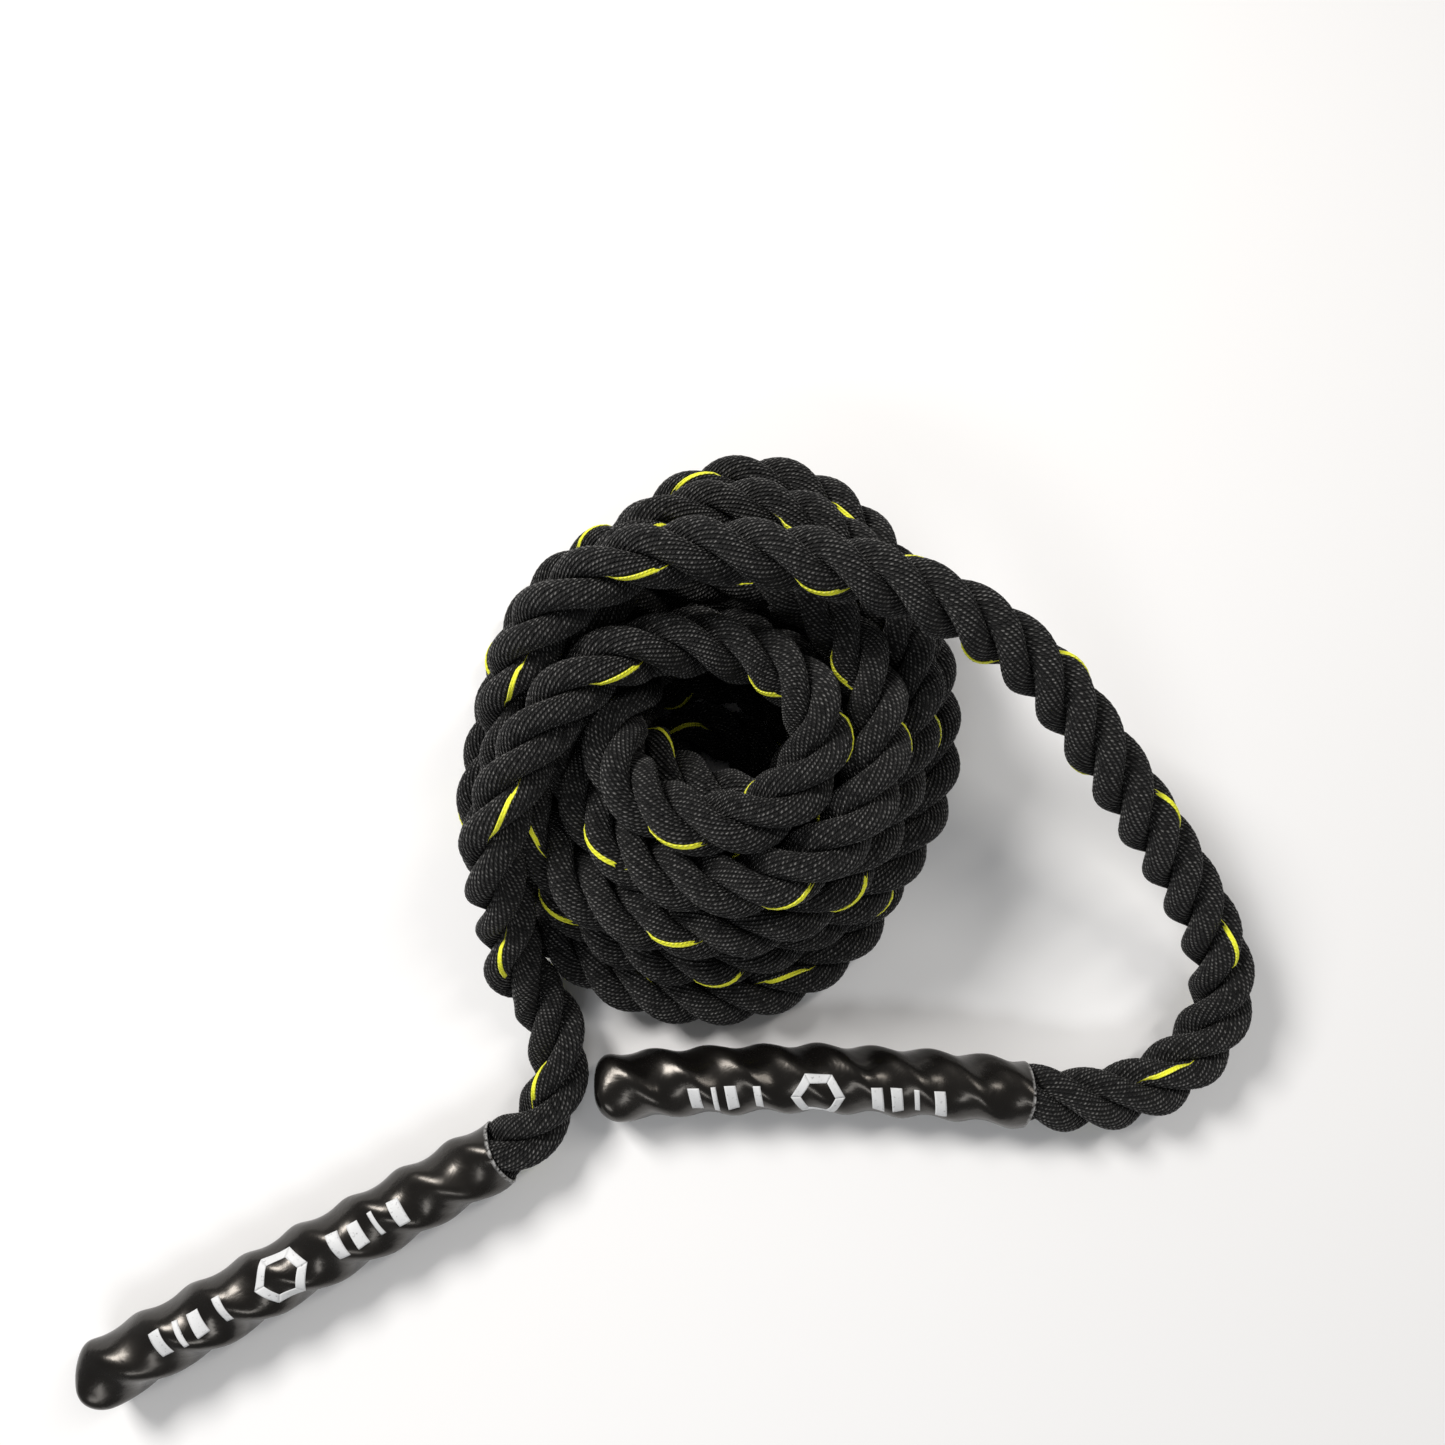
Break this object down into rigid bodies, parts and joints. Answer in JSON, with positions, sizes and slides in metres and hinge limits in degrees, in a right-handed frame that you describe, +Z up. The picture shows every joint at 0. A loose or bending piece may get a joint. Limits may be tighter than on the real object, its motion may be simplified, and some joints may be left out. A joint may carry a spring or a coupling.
{
  "type": "battle rope",
  "caption": "Thick black laid training rope wound in a low round coil, with a glossy shrink-on grip sleeve on each end.",
  "frame": {"origin": "bottom centre of the box round the whole coiled rope and its two grips, on the floor", "axes": "+X along the longest extent, from grip A's closed end towards the free loop; +Z up; +Y from the grips across the coil"},
  "size_m": [0.701, 0.5628, 0.1848],
  "materials": {
    "rope_yarn": "dense black polyester yarn with a soft sheen, one yellow tracer yarn in one strand",
    "tracer_yarn": "bright lemon yellow polyester yarn, soft",
    "grip_sleeve": "glossy black heat-shrunk plastic with fine wear",
    "print": null,
    "melted_yarn": "melted and hardened black yarn ends"
  },
  "bodies": {
    "coil": {"rope_coil": "rope_yarn", "neck_a": "rope_yarn", "lead_a": "rope_yarn", "neck_b": "rope_yarn", "lead_b": "rope_yarn"},
    "grip_a": {"grip_sleeve_a": "grip_sleeve", "strand_end_a_1": "rope_yarn", "strand_end_a_2": "rope_yarn", "strand_end_a_3": "rope_yarn", "rope_end_seal_a": "melted_yarn"},
    "grip_b": {"grip_sleeve_b": "grip_sleeve", "strand_end_b_1": "rope_yarn", "strand_end_b_2": "rope_yarn", "strand_end_b_3": "rope_yarn", "rope_end_seal_b": "melted_yarn"}
  },
  "joints": [
    {"name": "grip_a_lift", "type": "hinge", "parent": "coil", "child": "grip_a", "pos_m": [-0.0773, -0.1267, 0.0207], "axis": [-0.471, 0.8821, 0], "range_deg": [0, 60], "deforming": ["neck_a"]},
    {"name": "grip_b_lift", "type": "hinge", "parent": "coil", "child": "grip_b", "pos_m": [0.2488, -0.1166, 0.0207], "axis": [0.1323, 0.9912, 0], "range_deg": [0, 60], "deforming": ["neck_b"]}
  ]
}
